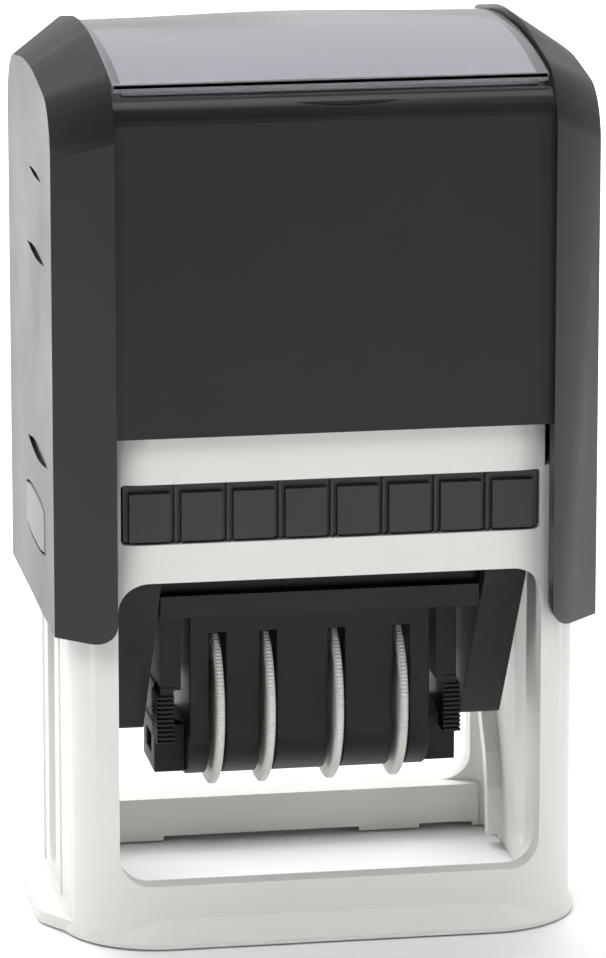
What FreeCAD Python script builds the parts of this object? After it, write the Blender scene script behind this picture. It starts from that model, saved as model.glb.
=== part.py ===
"""Self-inking rotary date stamp: white base frame, black cap, turn-over cradle with four date wheels.

Frame: millimetres, +X to the right, +Y to the back, +Z up, origin on the floor under the middle.
"""
import FreeCAD, Part
import Sketcher

import os
import re

DRIVING = {
    # base frame
    "frame_x": 33.5, "frame_y": 26.0, "frame_top": 68.8, "wall": 3.0, "frame_round": 9.5,
    "flare": 1.6, "flare_high": 3.6, "plinth_round": 13.0, "shoulder_x": 28.2, "shoulder_z": 62.4,
    "window_x": 27.9, "bar_top": 8.1, "window_top": 49.0, "window_round": 4.0,
    "slot_x": 27.5, "slot_low": 54.1, "slot_high": 62.1, "deck_low": 63.5, "deck_high": 65.5,
    "back_bar_top": 6.0, "foot_step": 0.6, "guide_half": 3.4, "foot_reach": 37.2, "foot_high": 1.6,
    # motion of the cap and the cradle
    "axle_z": 46.0, "plate_above": 7.0, "stroke": 39.0, "axle_radius": 3.0, "bore_gap": 0.05,
    # cap
    "cap_x": 35.8, "cap_y": 29.5, "cap_top": 117.9, "skirt_low": 41.4, "cap_inner_x": 34.2,
    "cap_inner_y": 26.4, "ceiling": 112.5, "panel_x": 28.5, "panel_y": 28.0, "panel_low": 68.6,
    "panel_top": 115.9, "panel_edge": 111.9, "crown_y": 7.0, "cap_edge": 114.2, "cap_corner": 8.0,
    "end_y": 22.2, "end_top": 112.9, "end_edge": 110.6, "hollow_corner": 5.6, "pillar_round": 3.2,
    "card_thick": 0.4, "window_gap": 0.2, "window_thick": 1.2, "notch_radius": 45.0,
    "button_y": -3.9, "button_z": 53.0, "button_half_y": 9.3, "button_half_z": 3.7,
    "button_gap": 0.3, "dimple_y": -6.5, "dimple_deep": 0.5,
    # ink cassette
    "tray_x": 27.2, "tray_low": 54.4, "tray_high": 61.9, "tray_back": 22.0, "felt_low": 56.1,
    "cell_count": 8.0,
    # cradle
    "plate_x": 25.0, "plate_y": 20.0, "plate_thick": 1.0, "holder_x": 27.0, "deck_x": 25.2,
    "cheek_inner": 21.5, "cheek_tip_z": 22.9, "cheek_tip_y": 2.6, "date_open_x": 16.6, "date_open_y": 4.4,
    "mount_x": 21.2, "flange_y": 17.0, "flange_low": 41.8, "flange_high": 44.8,
    "cover_x": 16.2, "cover_y": 9.0, "cover_low": 16.5, "cover_wall": 1.0,
    "skirt_in": 17.2, "skirt_out": 20.0, "cradle_skirt_low": 29.5,
    "clip_x": 20.4, "clip_low": 17.4, "clip_high": 24.0,
    # date wheels and bands
    "wheel_radius": 12.2, "wheel_thick": 1.3, "wheel_z": 26.7, "drum_radius": 5.0,
    "pin_radius": 1.5, "band_reach": 7.2, "band_thick": 1.0, "slot_gap": 0.45,
    # return springs
    "spring_x": 18.0, "spring_radius": 4.2, "spring_wire": 0.45, "spring_turns": 6.0,
}

# Shallow marks in each side face of the cap: height of the middle, half length, half height.
DIMPLES = [(99.5, 6.0, 0.4), (89.0, 8.5, 0.7), (62.5, 10.0, 1.1)]

# Each wheel: X of its rim's middle, and the X span of its drum and band beside the rim.
WHEELS = [(-12.4, -11.5, -6.5), (-5.6, -4.7, -1.1), (3.6, -0.7, 2.7), (12.3, 4.5, 11.4)]

doc = FreeCAD.newDocument("DateStamp")
sheet = doc.addObject("Spreadsheet::Sheet", "Dimensions")
for row, (alias, size) in enumerate(DRIVING.items(), start=1):
    sheet.set(f"A{row}", alias)
    sheet.set(f"B{row}", str(size))
    sheet.setAlias(f"B{row}", alias)
doc.recompute()

WORD = re.compile(r"\b(" + "|".join(DRIVING) + r")\b")
pieces = []


def bind(thing, prop, text):
    """Binds one property to an expression written with the sheet's aliases."""
    thing.setExpression(prop, WORD.sub(r"Dimensions.\1", str(text)))


def place(thing, x="0", y="0", z="0"):
    for axis, text in zip("xyz", (x, y, z)):
        bind(thing, f"Placement.Base.{axis}", text)


def box(name, x, y, z):
    """A block between two X, two Y and two Z expressions."""
    block = doc.addObject("Part::Box", name)
    for prop, (low, high) in zip(("Length", "Width", "Height"), (x, y, z)):
        bind(block, prop, f"({high}) - ({low})")
    place(block, x[0], y[0], z[0])
    return block


TURNS = {
    "x": FreeCAD.Rotation(FreeCAD.Vector(0, 1, 0), 90),
    "y": FreeCAD.Rotation(FreeCAD.Vector(1, 0, 0), -90),
    "z": FreeCAD.Rotation(),
}


def rod(name, axis, radius, span, centre):
    """A cylinder along an axis between the two span expressions, its centre line at centre."""
    bar = doc.addObject("Part::Cylinder", name)
    bar.Placement.Rotation = TURNS[axis]
    bind(bar, "Radius", radius)
    bind(bar, "Height", f"({span[1]}) - ({span[0]})")
    spots = list(centre)
    spots.insert("xyz".index(axis), span[0])
    place(bar, *spots)
    return bar


def group(kind, name, parts):
    joined = doc.addObject(kind, name)
    joined.Shapes = parts
    return joined


def fuse(name, parts):
    return group("Part::MultiFuse", name, parts)


def common(name, parts):
    return group("Part::MultiCommon", name, parts)


def cut(name, base, tools):
    result = doc.addObject("Part::Cut", name)
    result.Base = base
    result.Tool = tools[0] if len(tools) == 1 else fuse(f"{name}_tools", tools)
    return result


def node(label, thing):
    """Names one sub-part, which becomes one file."""
    thing.Label = label
    pieces.append(thing)
    return thing


def outline(body, plane, points, start):
    """A closed outline on an origin plane, each corner held by two bound distances."""
    sketch = body.newObject("Sketcher::SketchObject", f"{body.Name}_outline")
    role = {"z": "XY_Plane", "y": "XZ_Plane", "x": "YZ_Plane"}[plane]
    origin = [part for part in body.Origin.OriginFeatures if part.Role == role]
    sketch.AttachmentSupport = [(origin[0], "")]
    sketch.MapMode = "FlatFace"
    bind(sketch, "AttachmentOffset.Base.z", start)
    count = len(points)
    ring = [FreeCAD.Vector(number(a), number(b), 0) for a, b in points]
    for index in range(count):
        sketch.addGeometry(Part.LineSegment(ring[index], ring[(index + 1) % count]), False)
    for index in range(count):
        join = Sketcher.Constraint("Coincident", index, 2, (index + 1) % count, 1)
        sketch.addConstraint(join)
    for index, (a, b) in enumerate(points):
        for kind, text in (("DistanceX", a), ("DistanceY", b)):
            held = Sketcher.Constraint(kind, -1, 1, index, 1, number(text))
            which = sketch.addConstraint(held)
            bind(sketch, f"Constraints[{which}]", text)
    return sketch, ring


def number(text):
    """The present value of an expression, read through a spare sheet's one cell."""
    if isinstance(text, (int, float)):
        return float(text)
    if text not in known:
        spare.set("A1", "=" + WORD.sub(r"Dimensions.\1", text))
        spare.recompute()
        known[text] = float(spare.get("A1"))
    return known[text]


known = {}
spare = doc.addObject("Spreadsheet::Sheet", "Spare")


def prism(name, plane, points, span, rounds=()):
    """A PartDesign body: an outline padded between the span's ends, with rounded corners.

    plane is the axis that the outline is padded along; rounds lists (radius, corner indexes).
    """
    body = doc.addObject("PartDesign::Body", name)
    low, high = span
    start = f"-({high})" if plane == "y" else low
    sketch, ring = outline(body, plane, points, start)
    pad = body.newObject("PartDesign::Pad", f"{name}_pad")
    pad.Profile = sketch
    bind(pad, "Length", f"({high}) - ({low})")
    doc.recompute()
    feature = pad
    for step, (radius, corners) in enumerate(rounds):
        spots = [ring[corner] for corner in corners]
        edges = corner_edges(feature.Shape, plane, spots)
        fillet = body.newObject("PartDesign::Fillet", f"{name}_round{step}")
        fillet.Base = (feature, edges)
        bind(fillet, "Radius", radius)
        doc.recompute()
        feature = fillet
    body.Tip = feature
    return body


def corner_edges(shape, plane, spots):
    """Names of the edges along the plane's axis that pass through the outline's given corners."""
    names = []
    for index, edge in enumerate(shape.Edges, start=1):
        ends = [flat(vertex.Point, plane) for vertex in edge.Vertexes]
        if len(ends) == 2 and (ends[0] - ends[1]).Length < 1e-6:
            if any((ends[0] - spot).Length < 1e-4 for spot in spots):
                names.append(f"Edge{index}")
    return names


def flat(point, plane):
    """A point seen along the plane's axis, in the outline's own two coordinates."""
    if plane == "x":
        return FreeCAD.Vector(point.y, point.z, 0)
    if plane == "y":
        return FreeCAD.Vector(point.x, point.z, 0)
    return FreeCAD.Vector(point.x, point.y, 0)


def rectangle(x, y):
    return [(x[0], y[0]), (x[1], y[0]), (x[1], y[1]), (x[0], y[1])]


def mirrored(points):
    """The given right-hand corners, followed by their mirror images on the left."""
    return points + [(f"-({a})", b) for a, b in reversed(points)]


ALL_FOUR = [0, 1, 2, 3]


def bevelled(body, chosen, inward, along, fits):
    """Adds a broad bevel at the chosen edges: inward on the end face, along the body's length.

    chosen tells from an edge's middle point if it takes the bevel, and fits tells from the
    bevelled shape if the two distances are the right way round.
    """
    base = body.Tip
    bevel = body.newObject("PartDesign::Chamfer", f"{body.Name}_bevel")
    names = []
    for index, edge in enumerate(base.Shape.Edges, start=1):
        if chosen(edge.valueAt((edge.FirstParameter + edge.LastParameter) / 2)):
            names.append(f"Edge{index}")
    bevel.Base = (base, names)
    bevel.ChamferType = "Two distances"
    bind(bevel, "Size", inward)
    bind(bevel, "Size2", along)
    body.Tip = bevel
    doc.recompute()
    if not fits(bevel.Shape):
        bevel.FlipDirection = True
        doc.recompute()
    return body


def base_frame():
    outside = prism(
        "frame_outside", "z", rectangle(("-frame_x", "frame_x"), ("-frame_y", "frame_y")),
        ("0", "frame_top"), [("frame_round", ALL_FOUR)],
    )
    top = number("flare_high")
    plinth = bevelled(
        prism("frame_plinth", "z", rectangle(("-frame_x - 1", "frame_x + 1"),
                                             ("-frame_y - flare", "frame_y + flare")),
              ("0", "flare_high"), [("plinth_round", ALL_FOUR)]),
        lambda middle: abs(middle.z - top) < 1e-4, "flare", "flare_high - 0.6",
        lambda shape: max(shape.Faces, key=lambda face: face.CenterOfMass.z)
        .BoundBox.YLength > 2 * number("frame_y") - 0.1,
    )
    foot = prism("frame_foot", "z",
                 [("-frame_x + 3", -23), ("-foot_reach", -13), ("-foot_reach", 5),
                  ("-frame_x + 3", 15)],
                 ("0", "foot_high"), [(7, [1, 2])])
    inner = (("-frame_x + wall", "frame_x - wall"), ("-frame_y + wall", "frame_y - wall"))
    round_in = [("frame_round - wall", ALL_FOUR)]
    below = prism("frame_below", "z", rectangle(*inner), (-1, "deck_low"), round_in)
    above = prism("frame_above", "z", rectangle(*inner), ("deck_high", "frame_top + 1"), round_in)
    windows = [prism(f"frame_window_{name}", "y",
                     rectangle(("-window_x", "window_x"), (low, "window_top")), span,
                     [("window_round", ALL_FOUR)])
               for name, low, span in (("front", "bar_top", (-30, 0)),
                                       ("back", "back_bar_top", (0, 30)))]
    slot = prism(
        "frame_slot", "y", rectangle(("-slot_x", "slot_x"), ("slot_low", "slot_high")),
        (-30, "wall - frame_y + 2"), [(0.6, ALL_FOUR)],
    )
    guides = prism(
        "frame_guides", "x",
        rectangle(("-guide_half", "guide_half"), (
            "axle_z - stroke - guide_half", "axle_z + guide_half")), (-40, 40),
        [("guide_half - 0.1", ALL_FOUR)],
    )
    shoulders = [box(f"frame_shoulder_{name}", sorted_span(sign, "shoulder_x", 40), (-40, 40),
                     ("shoulder_z", 80)) for name, sign in (("left", -1), ("right", 1))]
    shell = cut("frame_shell", fuse("frame_solid", [outside, plinth, foot]),
                [below, above, slot, guides] + windows + shoulders)
    parts = [shell]
    parts.append(cut("back_bar", box("back_bar_block", ("-window_x - 1", "window_x + 1"),
                                     ("plate_y + 0.3", "frame_y - wall + 0.5"),
                                     ("0", "back_bar_top")),
                     [box("back_bar_arch_left", (-15.5, 12), (0, 40), (-1, "foot_step")),
                      box("back_bar_arch_right", (20.5, 28), (0, 40), (-1, "foot_step"))]))
    front = [(11.2, 1.5), (11.6, 7.8), (13.2, 12.6), (16.4, 17.5), (20.4, 22)]
    back = [(y + 2.2, z - 0.8) for y, z in reversed(front)]
    for side, sign in (("right", 1), ("left", -1)):
        parts.append(prism(f"cam_rail_{side}", "x", front + back, sorted_span(sign, 28.4, 31)))
        parts.append(box(f"runner_{side}", sorted_span(sign, 27.6, 31.2), (-23.1, 23.1),
                         (52.4, "slot_low")))
        parts.append(rod(f"spring_seat_{side}", "z", 3, ("deck_low", "deck_high + 3"),
                         (f"{sign} * spring_x", 0)))
        for rib_y in (-9, 7.5):
            parts.append(box(f"guide_rib_{side}_{rib_y + 9:.0f}",
                             sorted_span(sign, "frame_x - 0.5", "frame_x + 0.2"),
                             (rib_y, rib_y + 1.5), (0, 40)))
    return node("base_frame", fuse("base_frame", parts))


def arch(name, reach, edge, top, crown, low, span, rounds):
    """A body along X seen as an arch: straight sides up to the edge, then a gentle crown."""
    points = mirrored([(reach, low), (reach, edge), (crown, top)])
    corner, crest = rounds
    return prism(name, "x", points, span, [(corner, [1, 4]), (crest, [2, 3])])


def end_profile(name, sign, level, body):
    """The face of an arch at the given X, kept up to date with the arch, for a loft."""
    binder = doc.addObject("PartDesign::SubShapeBinder", f"{name}_profile")
    for index, face in enumerate(body.Shape.Faces, start=1):
        if abs(face.CenterOfMass.x - sign * number(level)) < 1e-6:
            binder.Support = [(body, (f"Face{index}",))]
    doc.recompute()
    return binder


def pillar(name, sign):
    """One end of the cap, which narrows from the panel's side to the flat end face."""
    wide = arch(f"{name}_wide", "cap_y", "cap_edge", "cap_top", "crown_y", "skirt_low",
                sorted_span(sign, "panel_x - 1", "panel_x"), ("cap_corner", 60))
    narrow = arch(f"{name}_narrow", "end_y", "end_edge", "end_top", "crown_y - 2", "skirt_low",
                  sorted_span(sign, "cap_x", "cap_x + 1"), ("cap_corner - 0.5", 45))
    taper = doc.addObject("Part::Loft", f"{name}_taper")
    taper.Sections = [end_profile(f"{name}_wide", sign, "panel_x", wide),
                      end_profile(f"{name}_narrow", sign, "cap_x", narrow)]
    taper.Solid = True
    taper.Ruled = True
    return taper


def pillar_corner(name, sign):
    """What is cut from a pillar's inner bottom corner to round it."""
    near = "panel_x - 0.5"
    block = box(f"{name}_block", sorted_span(sign, near, "panel_x + pillar_round"), (-40, 40),
                ("skirt_low - 1", "skirt_low + pillar_round"))
    centre = f"{sign} * (panel_x + pillar_round)"
    wheel = rod(f"{name}_round", "y", "pillar_round", (-41, 41),
                (centre, "skirt_low + pillar_round"))
    return cut(name, block, [wheel])


def cap_shell():
    pillars = [cut(f"pillar_{name}_cut", pillar(f"pillar_{name}", sign),
                   [pillar_corner(f"corner_{name}", sign)])
               for name, sign in (("left", -1), ("right", 1))]
    panel = arch("cap_panel", "panel_y", "panel_edge", "panel_top", "crown_y - 0.5", "panel_low",
                 ("-panel_x", "panel_x"), (3.2, 60))
    hollow_plan = prism(
        "cap_hollow_plan", "z",
        [("cap_inner_x", "hollow_corner - cap_inner_y"),
         ("cap_inner_x", "cap_inner_y - hollow_corner"),
         ("cap_inner_x - hollow_corner", "cap_inner_y"),
         ("hollow_corner - cap_inner_x", "cap_inner_y"),
         ("-cap_inner_x", "cap_inner_y - hollow_corner"),
         ("-cap_inner_x", "hollow_corner - cap_inner_y"),
         ("hollow_corner - cap_inner_x", "-cap_inner_y"),
         ("cap_inner_x - hollow_corner", "-cap_inner_y")],
        (40, "ceiling + 1"),
    )
    hollow_front = prism(
        "cap_hollow_front", "y",
        mirrored([("cap_inner_x", 40), ("cap_inner_x", "ceiling - 10"),
                  ("panel_x", "ceiling - 4"), ("panel_x", "ceiling")]),
        (-30, 30),
    )
    hollow_side = prism(
        "cap_hollow_side", "x",
        mirrored([("cap_inner_y", 40), ("cap_inner_y", "panel_edge - 1.9"), ("crown_y", "ceiling")]),
        (-37, 37),
    )
    hollow = common("cap_hollow", [hollow_plan, hollow_front, hollow_side])
    notch = rod("cap_notch", "y", "notch_radius", (-30, "1 - panel_y"),
                (2, "panel_edge - 0.9 + notch_radius"))
    holes = [button_block(f"cap_button_hole_{name}", sign, "cap_inner_x - 1", "cap_x + 1", 0)
             for name, sign in (("left", -1), ("right", 1))]
    dimples = [dimple(f"cap_dimple_{name}_{row}", sign, *sizes)
               for name, sign in (("left", -1), ("right", 1))
               for row, sizes in enumerate(DIMPLES, start=1)]
    whole = fuse("cap_whole", pillars + [panel])
    return node("cap_shell", cut("cap_shell", whole, [hollow, notch] + holes + dimples))


def dimple(name, sign, level, half_long, half_high):
    """A shallow lens-shaped mark in one side face of the cap."""
    shape = [(-1, 0), (-0.5, -0.7), (0, -1), (0.5, -0.7), (1, 0), (0.5, 0.7), (0, 1), (-0.5, 0.7)]
    points = [(f"dimple_y + {half_long * along}", level + half_high * up) for along, up in shape]
    return prism(name, "x", points, sorted_span(sign, "cap_x - dimple_deep", "cap_x + 1"))


def button_block(name, sign, near, far, inset):
    """The long lock button's outline along X, shrunk all round by inset."""
    half_y = f"(button_half_y - {inset})"
    half_z = f"(button_half_z - {inset})"
    quarter = [(1, -0.8), (1, 0.8), (0.55, 0.97), (0, 1), (-0.55, 0.97), (-1, 0.8), (-1, -0.8),
               (-0.55, -0.97), (0, -1), (0.55, -0.97)]
    points = [(f"button_y + {half_y} * {along}", f"button_z + {half_z} * {up}")
              for along, up in quarter]
    return prism(name, "x", points, sorted_span(sign, near, far))


def lock_buttons():
    for name, sign in (("left", -1), ("right", 1)):
        node(f"lock_button_{name}", button_block(
            f"lock_button_{name}", sign, "cap_inner_x + 0.9", "cap_x + 0.1", "button_gap"))


def crown_sheet(name, lift, thick, reach, half_x):
    """A thin sheet that follows the top of the cap, lift above the panel's crown."""
    slope = "(panel_top - panel_edge) / (panel_y - crown_y + 0.5)"
    edge = f"panel_edge + (panel_y - {reach}) * {slope} + {lift}"
    crest = f"panel_top + {lift}"
    points = [
        (f"-{reach}", edge), ("0.5 - crown_y", crest), ("crown_y - 0.5", crest), (reach, edge),
        (reach, f"{edge} + {thick}"), ("crown_y - 0.5", f"{crest} + {thick}"),
        ("0.5 - crown_y", f"{crest} + {thick}"), (f"-{reach}", f"{edge} + {thick}"),
    ]
    return prism(name, "x", points, (f"-{half_x}", half_x), [(60, [1, 2, 5, 6])])


def top_cover():
    node("index_card", crown_sheet("index_card", 0, "card_thick", 24.6, 26.9))
    node("index_window", crown_sheet("index_window", "(card_thick + window_gap)", "window_thick",
                                     25.4, 28.2))


def ink_cassette():
    body = box("tray_body", ("-tray_x", "tray_x"), ("-frame_y + 1", "tray_back"),
               ("tray_low", "tray_high"))
    well = box("tray_well", ("-tray_x + 1.6", "tray_x - 1.6"), ("-plate_y - 0.6", "plate_y + 0.6"),
               ("tray_low - 1", "felt_low + 2.5"))
    parts = [cut("tray_hollowed", body, [well])]
    pitch = "(2 * tray_x / cell_count)"
    for index in range(int(DRIVING["cell_count"])):
        left = f"-tray_x + {index} * {pitch}"
        parts.append(box(f"tray_cell_{index + 1}", (f"{left} + 0.7", f"{left} + {pitch} - 0.7"),
                         ("-frame_y + 0.05", "-frame_y + 1.2"),
                         ("tray_low + 0.1", "tray_high - 1")))
        if index:
            parts.append(box(f"tray_rib_{index}", (f"{left} - 0.2", f"{left} + 0.2"),
                             ("-frame_y + 0.15", "-frame_y + 1.2"), ("tray_low", "tray_high")))
    node("ink_cassette", fuse("ink_cassette", parts))
    node("ink_pad", box("ink_pad", ("-tray_x + 1.6", "tray_x - 1.6"),
                        ("-plate_y - 0.6", "plate_y + 0.6"), ("felt_low", "felt_low + 2.5")))


PLATE_FACE = "(axle_z + plate_above)"


def plate_holder():
    deck = box("holder_deck", ("-deck_x", "deck_x"), ("-plate_y", "plate_y"),
               (f"{PLATE_FACE} - 3", f"{PLATE_FACE} - plate_thick"))
    opening = box("holder_opening", ("-date_open_x - 0.2", "date_open_x + 0.2"),
                  ("-date_open_y - 0.4", "date_open_y + 0.4"), (40, 60))
    parts = [deck]
    cheek = mirrored([("cheek_tip_y", "cheek_tip_z"), ("plate_y - 0.5", "axle_z + 0.5"),
                      ("plate_y - 0.5", f"{PLATE_FACE} - 3")])
    for name, span in (("left", ("-holder_x", "-cheek_inner")), ("right", ("cheek_inner", "holder_x"))):
        parts.append(prism(f"cheek_{name}", "x", cheek, span, [(1.5, [0, 5])]))
    bore = rod("holder_bore", "x", "axle_radius + bore_gap", (-30, 30), (0, "axle_z"))
    node("plate_holder", cut("plate_holder", fuse("holder_solid", parts), [opening, bore]))


def text_plate():
    sheet_of_rubber = box("rubber_sheet", ("-plate_x", "plate_x"), ("-plate_y", "plate_y"),
                          (f"{PLATE_FACE} - plate_thick", PLATE_FACE))
    opening = box("rubber_opening", ("-date_open_x", "date_open_x"),
                  ("-date_open_y", "date_open_y"), (40, 60))
    node("text_plate", cut("text_plate", sheet_of_rubber, [opening]))


def date_unit():
    flange = box("mount_flange", ("-mount_x", "mount_x"), ("-flange_y", "flange_y"),
                 ("flange_low", "flange_high"))
    upper = box("mount_upper", ("-mount_x", "mount_x"), ("-flange_y + 2", "flange_y - 2"),
                ("flange_high", f"{PLATE_FACE} - 3"))
    skirts = [box(f"mount_skirt_{name}", sorted_span(sign, "skirt_in", "skirt_out"),
                  ("-cover_y + 1", "cover_y - 1"), ("cradle_skirt_low", "flange_low"))
              for name, sign in (("left", -1), ("right", 1))]
    well = box("mount_well", ("-cover_x + cover_wall", "cover_x - cover_wall"),
               ("-cover_y + cover_wall", "cover_y - cover_wall"), (30, 60))
    bore = rod("mount_bore", "x", "axle_radius + 0.4", (-30, 30), (0, "axle_z"))
    node("date_unit_mount",
         cut("date_unit_mount", fuse("mount_solid", [flange, upper] + skirts), [well, bore]))
    outside = prism("cover_outside", "x",
                    rectangle(("-cover_y", "cover_y"), ("cover_low", "flange_low")),
                    ("-cover_x", "cover_x"), [("cover_y - 2", [0, 1])])
    inside = prism("cover_inside", "x",
                   rectangle(("-cover_y + cover_wall", "cover_y - cover_wall"),
                             ("cover_low + cover_wall", "flange_low + 1")),
                   ("-cover_x + cover_wall", "cover_x - cover_wall"),
                   [("cover_y - 2 - cover_wall", [0, 1])])
    slots = [box(f"cover_slot_{index + 1}",
                 (f"{middle} - wheel_thick / 2 - slot_gap", f"{middle} + wheel_thick / 2 + slot_gap"),
                 (-20, 20), (10, "wheel_z + wheel_radius - 1.5"))
             for index, (middle, near, far) in enumerate(WHEELS)]
    node("date_unit_cover", cut("date_unit_cover", outside, [inside] + slots))
    for name, sign in (("left", -1), ("right", 1)):
        block = box(f"clip_block_{name}", sorted_span(sign, "cover_x", "clip_x"), (-5, 5),
                    ("clip_low", "clip_high"))
        latch = box(f"clip_latch_{name}", sorted_span(sign, "clip_x - 2", "clip_x - 0.2"), (-4, 4),
                    ("clip_high", "cradle_skirt_low"))
        relief = box(f"clip_relief_{name}", sorted_span(sign, "clip_x - 1.4", "clip_x + 1"),
                     (-2.2, 2.2), ("clip_low + 2", "clip_high - 2"))
        node(f"date_clip_{name}",
             cut(f"date_clip_{name}", fuse(f"clip_{name}", [block, latch]), [relief]))
    node("band_bridge", box("band_bridge", ("-cover_x + cover_wall", "cover_x - cover_wall"),
                            (-1.6, 1.6), ("axle_z", f"{PLATE_FACE} - 1.5")))
    node("wheel_axle", rod("wheel_axle", "x", "pin_radius",
                           ("-cover_x + cover_wall", "cover_x - cover_wall"), (0, "wheel_z")))


def sorted_span(sign, near, far):
    """An X span on the right, or its mirror image on the left."""
    return (near, far) if sign > 0 else (f"-({far})", f"-({near})")


def band_outline(inset):
    """A date band seen along X: wide round its drum, narrow at the printing height."""
    return mirrored([
        (f"band_reach - {inset}", f"wheel_z - band_reach + {inset}"),
        (f"3.4 - {inset}", f"{PLATE_FACE} - {inset}"),
    ])


def date_wheels():
    for index, (middle, near, far) in enumerate(WHEELS, start=1):
        rim = rod(f"wheel_rim_{index}", "x", "wheel_radius",
                  (f"{middle} - wheel_thick / 2", f"{middle} + wheel_thick / 2"), (0, "wheel_z"))
        low, high = (near, far) if middle < near else (near, far)
        ends = (f"{middle}", high) if middle < near else (low, f"{middle}")
        drum = rod(f"wheel_drum_{index}", "x", "drum_radius", ends, (0, "wheel_z"))
        bore = rod(f"wheel_bore_{index}", "x", "pin_radius + bore_gap", (-30, 30), (0, "wheel_z"))
        node(f"date_wheel_{index}",
             cut(f"date_wheel_{index}", fuse(f"wheel_{index}", [rim, drum]), [bore]))
        outer = prism(f"band_outer_{index}", "x", band_outline(0), (near, far),
                      [("band_reach - 1.2", [0, 3]), (3.1, [1, 2])])
        inner = prism(f"band_inner_{index}", "x", band_outline("band_thick"),
                      (near - 1, far + 1), [("band_reach - band_thick - 1.2", [0, 3]), (2.1, [1, 2])])
        node(f"date_band_{index}", cut(f"date_band_{index}", outer, [inner]))


def axle_stubs():
    for name, sign in (("left", -1), ("right", 1)):
        span = sorted_span(sign, "cheek_inner + 0.2", "cap_inner_x")
        node(f"axle_stub_{name}", rod(f"axle_stub_{name}", "x", "axle_radius", span, (0, "axle_z")))


def return_springs():
    """Open helical springs between the frame's deck and the cap's ceiling."""
    for name, sign in (("left", -1), ("right", 1)):
        coil = doc.addObject("Part::Helix", f"spring_path_{name}")
        bind(coil, "Radius", "spring_radius")
        bind(coil, "Height", "ceiling - deck_high - 4 * spring_wire")
        bind(coil, "Pitch", "(ceiling - deck_high - 4 * spring_wire) / spring_turns")
        wire = doc.addObject("Part::RegularPolygon", f"spring_wire_{name}")
        wire.Polygon = 8
        wire.Placement.Rotation = FreeCAD.Rotation(FreeCAD.Vector(1, 0, 0), 90)
        bind(wire, "Circumradius", "spring_wire")
        place(wire, x="spring_radius")
        sweep = doc.addObject("Part::Sweep", f"return_spring_{name}")
        sweep.Sections = [wire]
        sweep.Spine = (coil, [])
        sweep.Solid = True
        sweep.Frenet = True
        place(sweep, x=f"{sign} * spring_x", z="deck_high + 2 * spring_wire")
        node(f"return_spring_{name}", sweep)


base_frame()
cap_shell()
lock_buttons()
top_cover()
ink_cassette()
plate_holder()
text_plate()
date_unit()
date_wheels()
axle_stubs()
return_springs()
doc.removeObject(spare.Name)
doc.recompute()

for thing in doc.Objects:
    if {"Invalid", "Error"} & set(thing.State):
        raise SystemExit(f"{thing.Name} failed: {thing.State}")
os.makedirs("parts", exist_ok=True)
for piece in pieces:
    if piece.Shape.isNull() or not piece.Shape.isValid():
        raise SystemExit(f"{piece.Label} has no valid shape")
    piece.Shape.exportStep(f"parts/{piece.Label}.step")
    print(piece.Label, len(piece.Shape.Solids), round(piece.Shape.Volume))
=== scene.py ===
"""Self-inking rotary date stamp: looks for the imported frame, in metres."""
import bpy
import bmesh
import math
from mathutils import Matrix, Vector


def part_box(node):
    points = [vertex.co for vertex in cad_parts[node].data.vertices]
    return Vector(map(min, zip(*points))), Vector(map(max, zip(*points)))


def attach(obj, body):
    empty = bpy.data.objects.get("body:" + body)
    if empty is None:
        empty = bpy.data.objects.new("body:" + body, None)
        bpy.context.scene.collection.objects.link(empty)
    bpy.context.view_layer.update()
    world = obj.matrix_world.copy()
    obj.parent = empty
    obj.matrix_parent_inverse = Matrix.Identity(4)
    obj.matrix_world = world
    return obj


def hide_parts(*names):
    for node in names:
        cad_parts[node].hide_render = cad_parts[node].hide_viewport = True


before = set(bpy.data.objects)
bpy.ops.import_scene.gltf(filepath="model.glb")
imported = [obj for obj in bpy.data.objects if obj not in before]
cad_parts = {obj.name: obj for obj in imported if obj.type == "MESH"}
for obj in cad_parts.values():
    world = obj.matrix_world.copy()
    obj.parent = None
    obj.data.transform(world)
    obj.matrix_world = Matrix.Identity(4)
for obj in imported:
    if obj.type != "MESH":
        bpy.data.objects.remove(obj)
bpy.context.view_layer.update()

MM = 0.001
WHEELS = (1, 2, 3, 4)
SIDES = (("left", -1), ("right", 1))


# ---------------------------------------------------------------- materials

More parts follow.
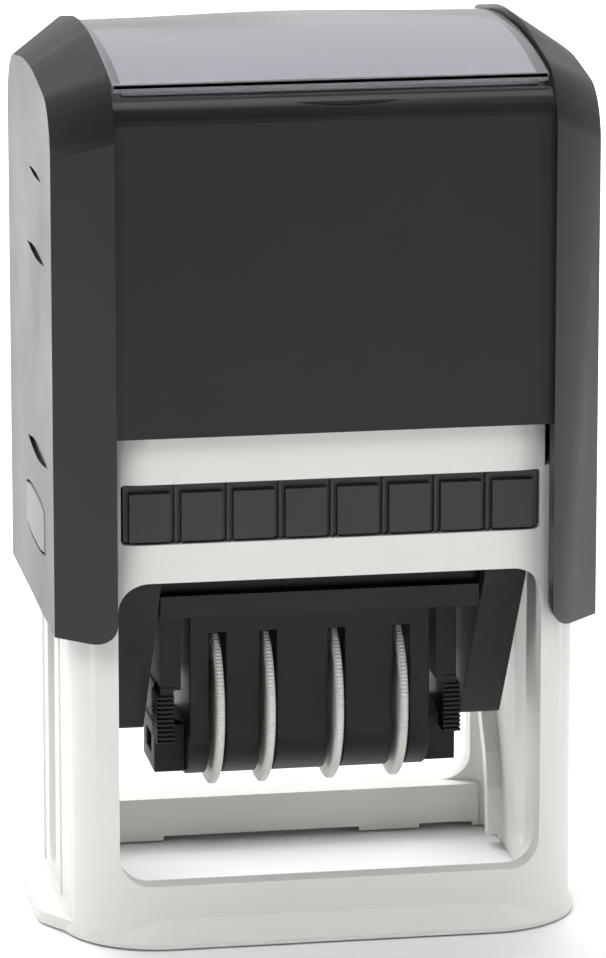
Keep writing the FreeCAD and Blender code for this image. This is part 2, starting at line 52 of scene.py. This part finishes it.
def material(name, colour, rough, **more):
    """A node material: base colour, roughness and the moulding's fine grain and mottling."""
    made = bpy.data.materials.new(name)
    made.use_nodes = True
    nodes, links = made.node_tree.nodes, made.node_tree.links
    shader = nodes["Principled BSDF"]
    shader.inputs["Base Color"].default_value = (*colour, 1)
    shader.inputs["Roughness"].default_value = rough
    shader.inputs["IOR"].default_value = more.get("ior", 1.5)
    place = nodes.new("ShaderNodeTexCoord").outputs["Object"]

    def noise(scale, detail=3.0, rough=0.55):
        node = nodes.new("ShaderNodeTexNoise")
        node.inputs["Scale"].default_value = scale
        node.inputs["Detail"].default_value = detail
        node.inputs["Roughness"].default_value = rough
        links.new(place, node.inputs["Vector"])
        return node.outputs["Fac"]

    def ranged(value, low, high):
        node = nodes.new("ShaderNodeMapRange")
        node.inputs["From Min"].default_value = 0.25
        node.inputs["From Max"].default_value = 0.75
        node.inputs["To Min"].default_value = low
        node.inputs["To Max"].default_value = high
        links.new(value, node.inputs["Value"])
        return node.outputs["Result"]

    spread = more.get("rough_spread", 0.05)
    smears = noise(more.get("smear_scale", 60), 4)
    links.new(ranged(smears, rough - spread, rough + spread), shader.inputs["Roughness"])

    tint = more.get("tint")
    if tint:
        mix = nodes.new("ShaderNodeMix")
        mix.data_type = "RGBA"
        mix.inputs[6].default_value = (*colour, 1)
        mix.inputs[7].default_value = (*tint, 1)
        links.new(ranged(noise(more.get("tint_scale", 45), 3), 0, 1), mix.inputs[0])
        links.new(mix.outputs[2], shader.inputs["Base Color"])

    grain = nodes.new("ShaderNodeBump")
    grain.inputs["Strength"].default_value = more.get("grain", 0.12)
    grain.inputs["Distance"].default_value = more.get("grain_deep", 0.00003)
    links.new(noise(more.get("grain_scale", 3500), 2), grain.inputs["Height"])
    waves = nodes.new("ShaderNodeBump")
    waves.inputs["Strength"].default_value = more.get("wave", 0.05)
    waves.inputs["Distance"].default_value = more.get("wave_deep", 0.0004)
    links.new(noise(more.get("wave_scale", 90), 1), waves.inputs["Height"])
    links.new(grain.outputs["Normal"], waves.inputs["Normal"])
    links.new(waves.outputs["Normal"], shader.inputs["Normal"])
    for socket, value in more.get("sockets", {}).items():
        shader.inputs[socket].default_value = value
    return made


white = material("white_moulding", (0.80, 0.785, 0.76), 0.42, tint=(0.83, 0.815, 0.79),
                 grain=0.10, wave=0.06)
black = material("black_cap", (0.009, 0.009, 0.0098), 0.34, tint=(0.013, 0.013, 0.0135),
                 rough_spread=0.04, grain=0.22, grain_scale=2600, wave=0.04,
                 sockets={"Specular IOR Level": 0.36})
mechanism = material("black_mechanism", (0.008, 0.008, 0.0085), 0.45,
                     tint=(0.0115, 0.0113, 0.0113), grain=0.2, wave=0.05,
                     sockets={"Specular IOR Level": 0.38})
tray_black = material("black_tray", (0.016, 0.016, 0.0165), 0.34, tint=(0.021, 0.021, 0.021),
                      grain=0.15, wave=0.12)
# dark grey button plastic, lightened past its own tone to stand in for the reflection on the
# lock buttons: partly painted reflection
button_grey_and_sheen = material("grey_button_and_sheen", (0.17, 0.17, 0.168), 0.4, tint=(0.19, 0.19, 0.188))
card = material("index_card", (0.44, 0.42, 0.475), 0.75, tint=(0.465, 0.445, 0.50), grain=0.5,
                grain_scale=1500, grain_deep=0.00006)
clear = material("clear_window", (0.93, 0.92, 0.96), 0.08, rough_spread=0.03, grain=0.02,
                 sockets={"Transmission Weight": 0.92, "IOR": 1.4})
lip_shade = material("window_edge_shade", (0.09, 0.075, 0.075), 0.3, tint=(0.13, 0.11, 0.12),
                     tint_scale=30)
felt = material("inked_felt", (0.012, 0.012, 0.03), 0.95, tint=(0.03, 0.03, 0.05), grain=1.0,
                grain_scale=900, grain_deep=0.0003, tint_scale=400)
rubber = material("plate_rubber", (0.30, 0.10, 0.07), 0.62, tint=(0.34, 0.12, 0.085), grain=0.4)
band_rubber = material("band_rubber", (0.03, 0.03, 0.032), 0.6, tint=(0.045, 0.043, 0.05))
# pale wheel plastic, made brighter than its own tone to make up for the shade the recessed
# wheels sit in: partly painted light
wheel_tone_and_painted_light = material("wheel_plastic", (0.92, 0.90, 0.87), 0.5, tint=(0.86, 0.84, 0.81),
                      tint_scale=120)
steel = material("bright_steel", (0.60, 0.60, 0.62), 0.28, grain=0.2,
                 sockets={"Metallic": 1.0})

def paint_rear_reflection(look, start, end, shade):
    """Darkens a look towards the back with a soft, wavy border, in metres along Y: a painted
    reflection band, not the look's own colour.
    """
    nodes, links = look.node_tree.nodes, look.node_tree.links
    colour = nodes["Principled BSDF"].inputs["Base Color"]
    place = nodes.new("ShaderNodeTexCoord").outputs["Object"]
    wave = nodes.new("ShaderNodeTexNoise")
    wave.inputs["Scale"].default_value = 40
    links.new(place, wave.inputs["Vector"])
    split = nodes.new("ShaderNodeSeparateXYZ")
    links.new(place, split.inputs[0])
    shift = nodes.new("ShaderNodeMath")
    shift.operation = "MULTIPLY_ADD"
    shift.inputs[1].default_value = 0.008
    links.new(wave.outputs["Fac"], shift.inputs[0])
    links.new(split.outputs["Y"], shift.inputs[2])
    depth = nodes.new("ShaderNodeMapRange")
    depth.inputs["From Min"].default_value = start
    depth.inputs["From Max"].default_value = end
    links.new(shift.outputs[0], depth.inputs["Value"])
    mix = nodes.new("ShaderNodeMix")
    mix.data_type = "RGBA"
    mix.inputs[7].default_value = (*shade, 1)
    links.new(colour.links[0].from_socket, mix.inputs[6])
    links.new(depth.outputs["Result"], mix.inputs[0])
    links.new(mix.outputs[2], colour)


# painted reflection: the grey band across the rear of the index card stands in for a reflection
# in the clear window
paint_rear_reflection(card, 0.006, 0.013, (0.27, 0.265, 0.27))

LOOKS = {
    "base_frame": white, "cap_shell": black, "index_card": card, "index_window": clear,
    "ink_cassette": tray_black, "ink_pad": felt, "plate_holder": mechanism,
    "text_plate": rubber, "date_unit_mount": mechanism, "date_unit_cover": mechanism,
    "band_bridge": mechanism, "wheel_axle": steel,
}
for side, sign in SIDES:
    LOOKS[f"lock_button_{side}"] = button_grey_and_sheen
    LOOKS[f"date_clip_{side}"] = mechanism
    LOOKS[f"axle_stub_{side}"] = steel
    LOOKS[f"return_spring_{side}"] = steel
for wheel in WHEELS:
    LOOKS[f"date_wheel_{wheel}"] = wheel_tone_and_painted_light
    LOOKS[f"date_band_{wheel}"] = band_rubber

# the radius of the moulded edge of each node, in millimetres
EDGES = {
    "base_frame": 0.5, "cap_shell": 0.5, "ink_cassette": 0.35, "plate_holder": 0.4,
    "date_unit_mount": 0.3, "date_unit_cover": 0.25, "date_clip_left": 0.2,
    "date_clip_right": 0.2, "lock_button_left": 0.25, "lock_button_right": 0.25,
    "index_window": 0.25,
}


def soften(thing, width, angle=24):
    """Rounds the moulded edges of a piece with modifiers, leaving its mesh as it is."""
    weld = thing.modifiers.new("weld", "WELD")
    weld.merge_threshold = 1e-6
    flat = thing.modifiers.new("flat", "DECIMATE")
    flat.decimate_type = "DISSOLVE"
    flat.angle_limit = math.radians(0.6)
    bevel = thing.modifiers.new("edges", "BEVEL")
    bevel.width = width * MM
    bevel.segments = 3
    bevel.limit_method = "ANGLE"
    bevel.angle_limit = math.radians(angle)
    bevel.harden_normals = True


for name, look in LOOKS.items():
    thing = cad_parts[name]
    thing.data.materials.clear()
    thing.data.materials.append(look)
    if name in EDGES:
        soften(thing, EDGES[name])


# ---------------------------------------------------------------- pieces

def piece(name, verts, faces, look, body, smooth):
    """A new mesh piece, given in millimetres, that rides on a body; smooth is in degrees."""
    mesh = bpy.data.meshes.new(name)
    mesh.from_pydata([[value * MM for value in vert] for vert in verts], [], faces)
    mesh.validate()
    shape = bmesh.new()
    shape.from_mesh(mesh)
    bmesh.ops.recalc_face_normals(shape, faces=shape.faces)
    shape.to_mesh(mesh)
    shape.free()
    mesh.materials.append(look)
    made = bpy.data.objects.new(name, mesh)
    bpy.context.collection.objects.link(made)
    mesh.shade_smooth()
    mesh.set_sharp_from_angle(angle=math.radians(smooth))
    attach(made, body)
    return made


def span_mm(node):
    """A node's lowest and highest corners in millimetres."""
    low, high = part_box(node)
    return [value / MM for value in low], [value / MM for value in high]


def join(*shapes):
    """Puts (verts, faces) pairs together."""
    verts, faces = [], []
    for more_verts, more_faces in shapes:
        start = len(verts)
        verts += more_verts
        faces += [[index + start for index in face] for face in more_faces]
    return verts, faces


def block(low, high):
    """A box between two corners, as a (verts, faces) pair."""
    x, y, z = zip(low, high)
    verts = [(x[i], y[j], z[k]) for k in (0, 1) for j in (0, 1) for i in (0, 1)]
    return verts, [(0, 1, 3, 2), (4, 5, 7, 6), (0, 1, 5, 4), (2, 3, 7, 6), (0, 2, 6, 4),
                   (1, 3, 7, 5)]


def turned(profile, centre, steps, knurl_from, teeth, depth):
    """A closed profile of (x, radius) turned about X; radii past knurl_from carry teeth."""
    verts, faces = [], []
    count = len(profile)
    for step in range(steps):
        angle = 2 * math.pi * step / steps
        dip = depth * (0.5 - 0.5 * math.cos(teeth * angle))
        for x, radius in profile:
            reach = radius - (dip if radius > knurl_from else 0)
            verts.append((x, centre[0] + reach * math.cos(angle),
                          centre[1] + reach * math.sin(angle)))
    for step in range(steps):
        here, there = step * count, (step + 1) % steps * count
        for index in range(count):
            after = (index + 1) % count
            faces.append((here + index, here + after, there + after, there + index))
    return verts, faces


def date_wheel(number, rim_middle):
    """A thin thumb wheel: knurled rim, dished sides and a drum for its band."""
    low, high = span_mm(f"date_wheel_{number}")
    half, radius = 0.52, (high[2] - low[2]) / 2
    web, bore, drum = half * 0.55, 1.56, 5.0
    centre = (0.0, (high[2] + low[2]) / 2)
    drum_side = 1 if high[0] - rim_middle > rim_middle - low[0] else -1
    drum_end = high[0] if drum_side > 0 else low[0]
    plain_face = [(half, bore), (half, 3.4), (web, 3.9), (web, radius - 1.7),
                  (half, radius - 1.2), (half, radius - 0.35), (web, radius)]
    drum_face = [(web, radius), (half, radius - 0.35), (half, radius - 1.2),
                 (web, radius - 1.7), (web, drum + 0.4), (half, drum)]
    profile = [(rim_middle - x * drum_side, r) for x, r in plain_face]
    profile += [(rim_middle + x * drum_side, r) for x, r in drum_face]
    profile += [(drum_end, drum), (drum_end, bore)]
    teeth, tooth_deep = 150, 0.14
    verts, faces = turned(profile, centre, teeth * 4, radius - 0.5, teeth, tooth_deep)
    made = piece(f"thumb_wheel_{number}", verts, faces, wheel_tone_and_painted_light, f"wheel_{number}", 50)
    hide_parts(f"date_wheel_{number}")


# X of the middle of each rim, in millimetres
RIMS = {1: -12.4, 2: -5.6, 3: 3.6, 4: 12.3}
for wheel in WHEELS:
    date_wheel(wheel, RIMS[wheel])


def crown(name, node, look, body, dome, thick=1.2):
    """A thin curved cover over the top that follows the crown, highest in the middle."""
    low, high = span_mm(node)
    half_x, half_y = high[0], high[1]
    edge = low[2] + thick
    rise = high[2] - edge
    columns, rows = 40, 40

    def top(x, y, dip):
        arch = 1 - (abs(y) / half_y) ** 2.1
        return edge + rise * arch * (1 - dip * (0.5 - 0.5 * math.cos(math.pi * x / half_x)))

    verts, faces = [], []
    for layer in (0, 1):
        for i in range(columns + 1):
            for j in range(rows + 1):
                x = -half_x + 2 * half_x * i / columns
                y = -half_y + 2 * half_y * j / rows
                verts.append((x, y, top(x, y, 0) - thick if layer else top(x, y, dome)))
    size = (columns + 1) * (rows + 1)

    def at(layer, i, j):
        return layer * size + i * (rows + 1) + j

    for i in range(columns):
        for j in range(rows):
            for layer in (0, 1):
                faces.append((at(layer, i, j), at(layer, i + 1, j), at(layer, i + 1, j + 1),
                              at(layer, i, j + 1)))
    for i in range(columns):
        for j in (0, rows):
            faces.append((at(0, i, j), at(0, i + 1, j), at(1, i + 1, j), at(1, i, j)))
    for j in range(rows):
        for i in (0, columns):
            faces.append((at(0, i, j), at(0, i, j + 1), at(1, i, j + 1), at(1, i, j)))
    made = piece(name, verts, faces, look, body, 50)
    rim = made.modifiers.new("rim", "BEVEL")
    rim.width, rim.segments = thick * 0.2 * MM, 3
    rim.limit_method, rim.angle_limit = "ANGLE", math.radians(50)
    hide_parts(node)


crown("domed_window", "index_window", clear, "window", 0.24)
crown("curved_card", "index_card", card, "cap", 0, thick=0.4)

low, high = span_mm("index_window")
# painted shade: a dark strip inside the thick clear front edge of the window stands in for the
# dark line that edge shows
edge_shade_strip = piece("window_edge_shade_strip", *block((low[0] + 0.2, low[1], low[2] + 0.62),
                                 (high[0] - 0.2, low[1] + 0.3, low[2] + 1.08)),
            lip_shade, "window", 30)


def grip(side, sign):
    """The serrated finger grip above a clip of the date unit."""
    low, high = span_mm(f"date_clip_{side}")
    pitch, count = 0.62, 11
    near, far = sorted((sign * 18.2, sign * 20.0))
    shapes = [block((near, -8.2, high[2] - 7.4), (far, -3, high[2] + 0.4))]
    for index in range(count):
        z = high[2] - 7.2 + index * pitch
        outer = sign * 20.5
        shapes.append(block((min(near, outer), -8.7, z), (max(far, outer), -3.2, z + 0.3)))
    made = piece(f"clip_grip_{side}", *join(*shapes), mechanism, "cradle", 30)


for side, sign in SIDES:
    grip(side, sign)


def stamping_plate():
    """The rubber plate: a thin sheet round the date opening, with a border and plain bars."""
    low, high = span_mm("text_plate")
    top, sheet = high[2], high[2] - 0.5
    open_x, open_y = 16.6, 4.4
    shapes = [block((low[0], low[1], low[2]), (high[0], -open_y, sheet)),
              block((low[0], open_y, low[2]), (high[0], high[1], sheet)),
              block((low[0], -open_y, low[2]), (-open_x, open_y, sheet)),
              block((open_x, -open_y, low[2]), (high[0], open_y, sheet))]
    for half_x, half_y in ((24.2, 19.2), (17.6, 5.4)):
        for sign in (-1, 1):
            y = sorted((sign * half_y, sign * (half_y - 0.6)))
            x = sorted((sign * half_x, sign * (half_x - 0.6)))
            shapes.append(block((-half_x, y[0], sheet), (half_x, y[1], top)))
            shapes.append(block((x[0], -half_y, sheet), (x[1], half_y, top)))
    for y, half in ((15, 19), (11.5, 15), (8.2, 11)):
        for sign in (-1, 1):
            shapes.append(block((-half, sign * y - 0.7, sheet), (half, sign * y + 0.7, top)))
    made = piece("stamping_plate", *join(*shapes), rubber, "cradle", 30)
    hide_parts("text_plate")


stamping_plate()


# ---------------------------------------------------------------- stage

def area_light(name, place, target, size, power, gloss=True):
    """A soft rectangular lamp; without gloss it lights things but isn't mirrored in them."""
    lamp = bpy.data.lights.new(name, "AREA")
    lamp.shape = "RECTANGLE"
    lamp.size, lamp.size_y = size
    lamp.energy = power
    made = bpy.data.objects.new(name, lamp)
    bpy.context.collection.objects.link(made)
    made.location = place
    made.rotation_euler = (Vector(target) - Vector(place)).to_track_quat("-Z", "Y").to_euler()
    made.visible_glossy = made.visible_transmission = gloss


def stage():
    mesh = bpy.data.meshes.new("floor")
    far = 3.0
    mesh.from_pydata([(-far, -far, 0), (far, -far, 0), (far, far, 0), (-far, far, 0)], [],
                     [(0, 1, 2, 3)])
    floor = bpy.data.objects.new("floor", mesh)
    bpy.context.collection.objects.link(floor)
    floor.location.z = -0.0003
    pale = material("pale_floor", (0.93, 0.93, 0.93), 0.8, grain=0.02, wave=0.0)
    mesh.materials.append(pale)
    studio()
    area_light("top", (0.0, 0.15, 0.8), (0, 0, 0), (0.7, 0.7), 3.4)
    area_light("key", (-0.35, -0.55, 0.75), (0, 0, 0.06), (0.45, 0.45), 3.0)
    area_light("fill", (0.75, -0.55, 0.45), (0, 0, 0.06), (0.4, 0.6), 1.7)
    area_light("back", (-0.1, 0.95, 0.75), (-0.05, 0.35, 0), (1.5, 0.8), 18, gloss=False)


def studio():
    """Soft light from all round, bright behind and above, dim in front of the object."""
    world = bpy.data.worlds.new("studio")
    world.use_nodes = True
    nodes, links = world.node_tree.nodes, world.node_tree.links
    back = nodes["Background"]
    split = nodes.new("ShaderNodeSeparateXYZ")
    links.new(nodes.new("ShaderNodeTexCoord").outputs["Generated"], split.inputs[0])
    depth = nodes.new("ShaderNodeMapRange")
    for socket, value in (("From Min", -0.7), ("From Max", 0.4), ("To Min", 0.10),
                          ("To Max", 0.6)):
        depth.inputs[socket].default_value = value
    links.new(split.outputs["Y"], depth.inputs["Value"])
    links.new(depth.outputs["Result"], back.inputs["Strength"])
    back.inputs["Color"].default_value = (1, 1, 1, 1)
    bpy.context.scene.world = world


def camera():
    turn, tilt = math.radians(-9.70), math.radians(13.69)
    back = Vector((math.sin(turn) * math.cos(tilt), -math.cos(turn) * math.cos(tilt),
                   math.sin(tilt)))
    aim = Vector((0.60, 0, 55.7)) * MM
    lens = bpy.data.cameras.new("camera")
    lens.sensor_fit = "HORIZONTAL"
    lens.sensor_width = 36
    lens.lens = 356.4
    lens.clip_start, lens.clip_end = 0.05, 20
    made = bpy.data.objects.new("camera", lens)
    bpy.context.collection.objects.link(made)
    made.location = aim + back * 0.8005
    made.rotation_euler = back.to_track_quat("Z", "Y").to_euler()
    bpy.context.scene.camera = made


stage()
camera()
bpy.context.scene.view_settings.view_transform = "Standard"
